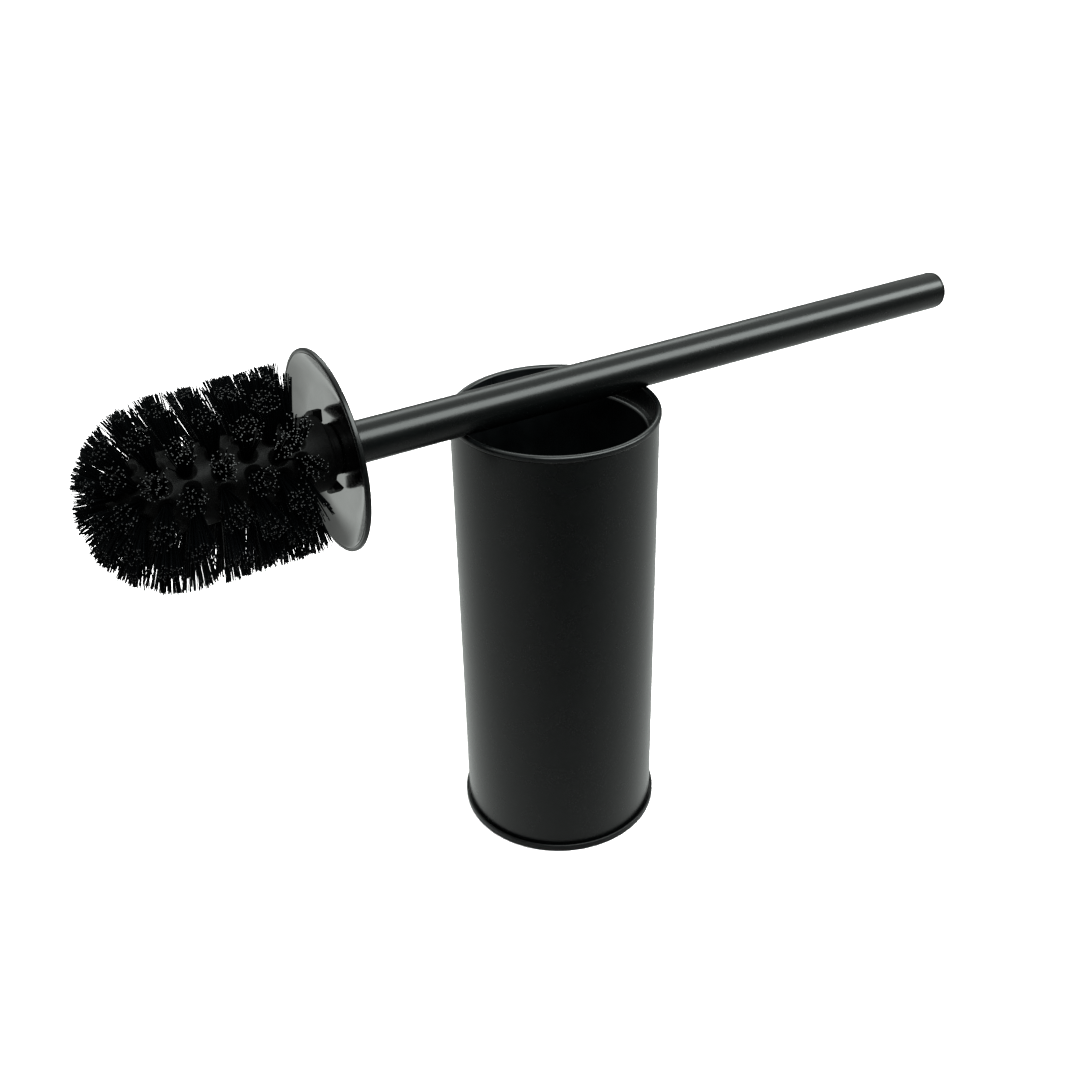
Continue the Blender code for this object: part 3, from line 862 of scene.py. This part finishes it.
def build_core(plastic):
    """The hub with its lugs and the core, with a countersunk hole for every tuft."""
    start, end = depth_of(CORE_HIGH.x) + LUG_LENGTH, depth_of(CORE_LOW.x)
    dome_start = end - CORE_RADIUS
    hub = outline(
        [
            (INSERT_BORE_RADIUS, INSERT_BORE_DEPTH, 0.0),
            (INSERT_BORE_RADIUS, start, 0.3 * MM),
            (SHROUD_INNER, start, 0.0),
            (SHROUD_INNER, start - SHROUD_LENGTH, 0.1 * MM),
            (SHROUD_OUTER, start - SHROUD_LENGTH, 0.2 * MM),
            (SHROUD_OUTER, start, 0.2 * MM),
            (HUB_RADIUS, start, 0.7 * MM),
            (CORE_RADIUS, HUB_END, 0.0),
        ],
        closed=False,
    )
    profile = [(0.0, CORE_CAVITY_DEPTH), (CORE_CAVITY_RADIUS, CORE_CAVITY_DEPTH)]
    profile += [(CORE_CAVITY_RADIUS, INSERT_BORE_DEPTH)] + hub[:-1]
    for i in range(2, HUB_ROWS + 1):
        share = i / HUB_ROWS
        radius = HUB_RADIUS + (CORE_RADIUS - HUB_RADIUS) * share
        profile.append((radius, start + (HUB_END - start) * share))
    barrel_rows = int((dome_start - HUB_END) / CORE_GRID)
    for i in range(1, barrel_rows + 1):
        profile.append((CORE_RADIUS, HUB_END + (dome_start - HUB_END) * i / barrel_rows))
    dome_rows = int(CORE_RADIUS * math.pi / 2.0 / CORE_GRID)
    for i in range(1, dome_rows):
        angle = i / dome_rows * math.pi / 2.0
        profile.append((CORE_RADIUS * math.cos(angle), dome_start + CORE_RADIUS * math.sin(angle)))
    profile.append((0.0, end))

    holes = [(root, core_radius(root), angle) for root, tip, angles in tuft_places() for angle in angles]

    def countersunk(radii, angles, depths):
        """Sinks the surface round each hole, and leaves the bore and the cavity plain."""
        depth = depths[0]
        if radii[0] < CORE_CAVITY_RADIUS + MM and depth < dome_start:
            return radii
        sink = np.zeros(len(radii))
        for root, hole_radius, angle in holes:
            if abs(depth - root) > CRATER_RADIUS:
                continue
            turn = (angles - angle + math.pi) % math.tau - math.pi
            ahead = (depth - root) * CORE_RADIUS / max(hole_radius, 1.0 * MM)
            away = np.hypot(turn * hole_radius, ahead)
            bowl = CRATER_DEPTH * (1.0 - np.clip(away / CRATER_RADIUS, 0.0, 1.0) ** CRATER_ROUNDNESS)
            hole = (HOLE_DEPTH - CRATER_DEPTH) * np.clip((HOLE_RADIUS - away) / HOLE_EDGE, 0.0, 1.0)
            sink = np.maximum(sink, bowl + hole)
        return radii - sink

    core = lathe(
        "core", profile, lying, [plastic], 288, closed=False, shape=countersunk, smooth_angle=50.0
    )
    seat(core, "head", "black_plastic", "head_core")
    points, faces = lug_points(start - LUG_LENGTH, start + MM)
    lugs = mesh_object("hub_lugs", points, faces, [plastic], 50.0)
    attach(lugs, "head")


def filament_tubes(name, roots, bends, tips, looks):
    """Closed tubes along quadratic curves, one for each filament, with the cut ends in a second look."""
    count = len(roots)
    share = np.linspace(0.0, 1.0, FILAMENT_STEPS + 1)[None, :, None]
    path = (1 - share) ** 2 * roots[:, None] + 2 * share * (1 - share) * bends[:, None]
    path = path + share**2 * tips[:, None]
    along = tips - roots
    along /= np.linalg.norm(along, axis=1, keepdims=True)
    clear_of_x = np.abs(along[:, :1]) < 0.8
    helper = np.where(clear_of_x, np.array([[1.0, 0.0, 0.0]]), np.array([[0.0, 1.0, 0.0]]))
    side = np.cross(along, helper)
    side /= np.linalg.norm(side, axis=1, keepdims=True)
    other = np.cross(along, side)
    angles = np.arange(FILAMENT_SIDES) * math.tau / FILAMENT_SIDES
    thickness = FILAMENT_RADIUS * dice.uniform(*THICKNESS_RANGE, count)[:, None, None, None]
    circle = side[:, None, None] * np.cos(angles)[None, None, :, None]
    circle = circle + other[:, None, None] * np.sin(angles)[None, None, :, None]
    points = path[:, :, None, :] + circle * thickness
    points = points.reshape(-1, 3)
    ring = np.arange(FILAMENT_SIDES)
    after = (ring + 1) % FILAMENT_SIDES
    faces = []
    per_filament = (FILAMENT_STEPS + 1) * FILAMENT_SIDES
    for i in range(count):
        base = i * per_filament
        for j in range(FILAMENT_STEPS):
            low = base + j * FILAMENT_SIDES
            high = low + FILAMENT_SIDES
            faces += [(low + a, low + b, high + b, high + a) for a, b in zip(ring, after)]
        faces.append(tuple(base + ring[::-1]))
        faces.append(tuple(base + FILAMENT_STEPS * FILAMENT_SIDES + ring))
    faces = [tuple(int(corner) for corner in face) for face in faces]
    piece = mesh_object(name, points, faces, looks, 40.0)
    faces_each = FILAMENT_STEPS * FILAMENT_SIDES + 2
    slots = np.zeros(len(piece.data.polygons), dtype=np.int32)
    slots[faces_each - 1 :: faces_each] = 1
    piece.data.polygons.foreach_set("material_index", slots)
    return piece


def tuft(root, tip, sideways, count, root_radius, tip_radius):
    """Roots, bends and tips of one tuft's filaments, fanned from its hole to the head's trimmed surface.

    Each is cut where its line leaves the envelope, which is found by halving, and then made to droop.
    """
    axis = (tip - root) / np.linalg.norm(tip - root)
    across = np.cross(axis, sideways)
    across /= np.linalg.norm(across)
    turn = np.arange(count) * GOLDEN_ANGLE + dice.uniform(0.0, math.tau)
    reach = np.sqrt((np.arange(count) + 0.5) / count)
    spread = np.stack([np.cos(turn) * reach, np.sin(turn) * reach], axis=1)
    loose = spread + dice.normal(0.0, LOOSENESS, (count, 2))
    stray = dice.uniform(size=(count, 1)) < STRAY_SHARE
    loose = np.where(stray, loose * dice.uniform(*STRAY_REACH, (count, 1)), loose)

    def offset(pattern, size):
        return pattern[:, :1] * size * sideways + pattern[:, 1:] * size * across

    roots = root + offset(spread, root_radius)
    aims = tip + offset(loose, tip_radius)
    low, high = (np.full((count, 1), share) for share in TRIM_SEARCH)
    for _ in range(TRIM_HALVINGS):
        middle = (low + high) / 2.0
        points = roots + (aims - roots) * middle
        depth = LID_RIM_X - points[:, :1]
        radius = np.hypot(points[:, 1:2] - AXIS_Y, points[:, 2:3] - AXIS_Z)
        past_tip = depth > HEAD_TIP_DEPTH
        outside = (radius > envelope_radius(depth)) | past_tip
        low, high = np.where(outside, low, middle), np.where(outside, middle, high)
    length = np.linalg.norm(aims - roots, axis=1, keepdims=True)
    trim = np.clip(dice.normal(0.0, TRIM_SPREAD, (count, 1)), *TRIM_RANGE)
    tips = roots + (aims - roots) * (low + trim / length)
    tips[:, 2] -= droop(LID_RIM_X - tips[:, 0])
    straight = roots + axis * np.linalg.norm(tips - roots, axis=1, keepdims=True) * 0.5
    halfway = (roots + tips) / 2.0
    bends = halfway * (1.0 - STRAIGHT_SHARE) + straight * STRAIGHT_SHARE
    bends = bends + dice.normal(0.0, BEND_SPREAD, (count, 3))
    return roots, bends, tips


def build_bristles(looks):
    """A piece of separate filaments for each ring of tufts, and one for the tuft at the tip."""
    for i, (root_depth, tip_depth, angles) in enumerate(tuft_places()):
        parts = []
        root_radius = core_radius(root_depth) - TUFT_ROOT_SINK
        tip_radius = float(envelope_radius(np.float64(tip_depth)))
        for k, angle in enumerate(angles):
            angle += dice.normal(0.0, TUFT_TURN_SPREAD)
            wander = dice.normal(0.0, TUFT_SHIFT_SPREAD)
            turn, shift = LEANING_TUFTS.get((i, k), (0.0, 0.0))
            tip_angle = angle + math.radians(turn)
            wander += shift
            root = lying(np.float64(root_radius), np.float64(angle), np.float64(root_depth))
            tip = lying(np.float64(tip_radius), np.float64(tip_angle), np.float64(tip_depth + wander))
            sideways = np.array([0.0, math.cos(angle), -math.sin(angle)])
            count = FILAMENTS_PER_TUFT + int(dice.integers(-COUNT_SPREAD, COUNT_SPREAD + 1))
            parts.append(tuft(root, tip, sideways, count, TUFT_ROOT_RADIUS, TUFT_TIP_RADIUS))
        roots, bends, tips = (np.concatenate(kind) for kind in zip(*parts))
        name = f"tufts_{i + 1}"
        seat(filament_tubes(name, roots, bends, tips, looks), "head", "bristle", f"bristle_ring_{i + 1}")
    root = np.array([END_TUFT_HIGH.x, AXIS_Y, AXIS_Z])
    tip = np.array([LID_RIM_X - HEAD_TIP_DEPTH, AXIS_Y, AXIS_Z])
    sideways = np.array([0.0, 1.0, 0.0])
    roots, bends, tips = tuft(root, tip, sideways, END_TUFT_FILAMENTS, TUFT_ROOT_RADIUS, END_TUFT_RADIUS)
    piece = filament_tubes("tufts_end", roots, bends, tips, looks)
    seat(piece, "head", "bristle", "bristle_end_tuft")


# ---------------------------------------------------------------- floor, light and camera


def build_floor():
    """A wide sheet, level with the canister's foot. It lights the object but isn't mirrored in it."""
    lines = np.linspace(-FLOOR_REACH, FLOOR_REACH, FLOOR_CUTS + 1)
    points = [(x, y, CAD_BOUNDS[0].z) for y in lines for x in lines]
    faces = []
    for row in range(FLOOR_CUTS):
        for column in range(FLOOR_CUTS):
            first = row * (FLOOR_CUTS + 1) + column
            above = first + FLOOR_CUTS + 1
            faces.append((first, first + 1, above + 1, above))
    floor = mesh_object("floor", points, faces, [pale_floor()])
    floor.visible_glossy = False


def build_world():
    """Studio light, brighter behind the object than in front of it; the camera sees an even pale grey."""
    world = bpy.data.worlds.new("studio")
    bpy.context.scene.world = world
    world.use_nodes = True
    nodes, links = world.node_tree.nodes, world.node_tree.links
    backdrop = nodes["Background"]
    direction = nodes.new("ShaderNodeTexCoord").outputs["Generated"]
    facing = nodes.new("ShaderNodeVectorMath")
    facing.operation = "DOT_PRODUCT"
    level, sink = math.cos(STUDIO_TILT), math.sin(STUDIO_TILT)
    heading = CAMERA_HEADING + STUDIO_TURN
    facing.inputs[1].default_value = (math.sin(heading) * level, math.cos(heading) * level, -sink)
    links.new(direction, facing.inputs[0])
    height = nodes.new("ShaderNodeSeparateXYZ")
    links.new(direction, height.inputs["Vector"])

    def ramped(value, table):
        """A strength read from a table of values between -1 and 1."""
        spread = nodes.new("ShaderNodeMapRange")
        spread.inputs["From Min"].default_value = -1.0
        links.new(value, spread.inputs["Value"])
        ramp = nodes.new("ShaderNodeValToRGB")
        stops = ramp.color_ramp.elements
        for i, (from_value, strength) in enumerate(table):
            place = (from_value + 1.0) / 2.0
            stop = stops[i] if i < 2 else stops.new(place)
            stop.position = place
            stop.color = (strength, strength, strength, 1.0)
        links.new(spread.outputs["Result"], ramp.inputs["Fac"])
        return ramp.outputs["Color"]

    strength = nodes.new("ShaderNodeMath")
    strength.operation = "MULTIPLY"
    links.new(ramped(facing.outputs["Value"], STUDIO_STRENGTHS), strength.inputs[0])
    links.new(ramped(height.outputs["Z"], STUDIO_HEIGHTS), strength.inputs[1])
    backdrop.inputs["Color"].default_value = (*STUDIO_TINT, 1.0)
    links.new(strength.outputs["Value"], backdrop.inputs["Strength"])
    plain = nodes.new("ShaderNodeBackground")
    plain.inputs["Strength"].default_value = 1.0
    seen = nodes.new("ShaderNodeMixShader")
    links.new(nodes.new("ShaderNodeLightPath").outputs["Is Camera Ray"], seen.inputs["Fac"])
    links.new(backdrop.outputs["Background"], seen.inputs[1])
    links.new(plain.outputs["Background"], seen.inputs[2])
    links.new(seen.outputs["Shader"], nodes["World Output"].inputs["Surface"])


def softbox(name, place, aim, size, power):
    """A large soft lamp that the camera doesn't see."""
    lamp = bpy.data.lights.new(name, "AREA")
    lamp.shape = "RECTANGLE"
    lamp.size, lamp.size_y = size
    lamp.energy = power
    lamp.color = LAMP_TINT
    made = bpy.data.objects.new(name, lamp)
    bpy.context.scene.collection.objects.link(made)
    made.location = place
    made.rotation_mode = "QUATERNION"
    made.rotation_quaternion = (Vector(aim) - Vector(place)).to_track_quat("-Z", "Y")
    made.visible_camera = False


def build_lights():
    for name, (place, aim, size, power) in LAMPS.items():
        softbox(name, place, aim, size, power)


def build_camera():
    heading, pitch = CAMERA_HEADING, CAMERA_PITCH
    level_part = math.cos(pitch)
    ahead = Vector((math.sin(heading) * level_part, math.cos(heading) * level_part, -math.sin(pitch)))
    level = ahead.cross(Vector((0.0, 0.0, 1.0))).normalized()
    down = ahead.cross(level)
    right = level * math.cos(CAMERA_ROLL) + down * math.sin(CAMERA_ROLL)
    low = down * math.cos(CAMERA_ROLL) - level * math.sin(CAMERA_ROLL)
    lens = bpy.data.cameras.new("camera")
    lens.lens = CAMERA_LENS
    lens.sensor_width = CAMERA_SENSOR
    lens.clip_start = 0.01
    camera = bpy.data.objects.new("camera", lens)
    bpy.context.scene.collection.objects.link(camera)
    turned = Matrix((right, -low, -ahead)).transposed()
    camera.matrix_world = Matrix.Translation(Vector(CAMERA_PLACE)) @ turned.to_4x4()
    bpy.context.scene.camera = camera


def main():
    """Builds every piece, the floor, the light and the camera."""
    paint = black_paint("shell_paint", 0.5)
    brush_paint = black_paint("brush_paint", 0.39)
    plastic = moulded_plastic()
    build_camera()
    build_world()
    build_lights()
    build_floor()
    build_shell(paint)
    build_base(plastic)
    build_pad(foam_rubber())
    build_liner(rim_plastic())
    build_handle(brush_paint, plastic)
    build_screw(plated_steel(), turned_brass(), plastic)
    build_lid(satin_steel(), brush_paint)
    dull = core_plastic()
    build_neck(dull)
    build_core(dull)
    build_bristles([nylon(), cut_nylon()])
    bpy.context.scene.view_settings.view_transform = "Standard"


main()
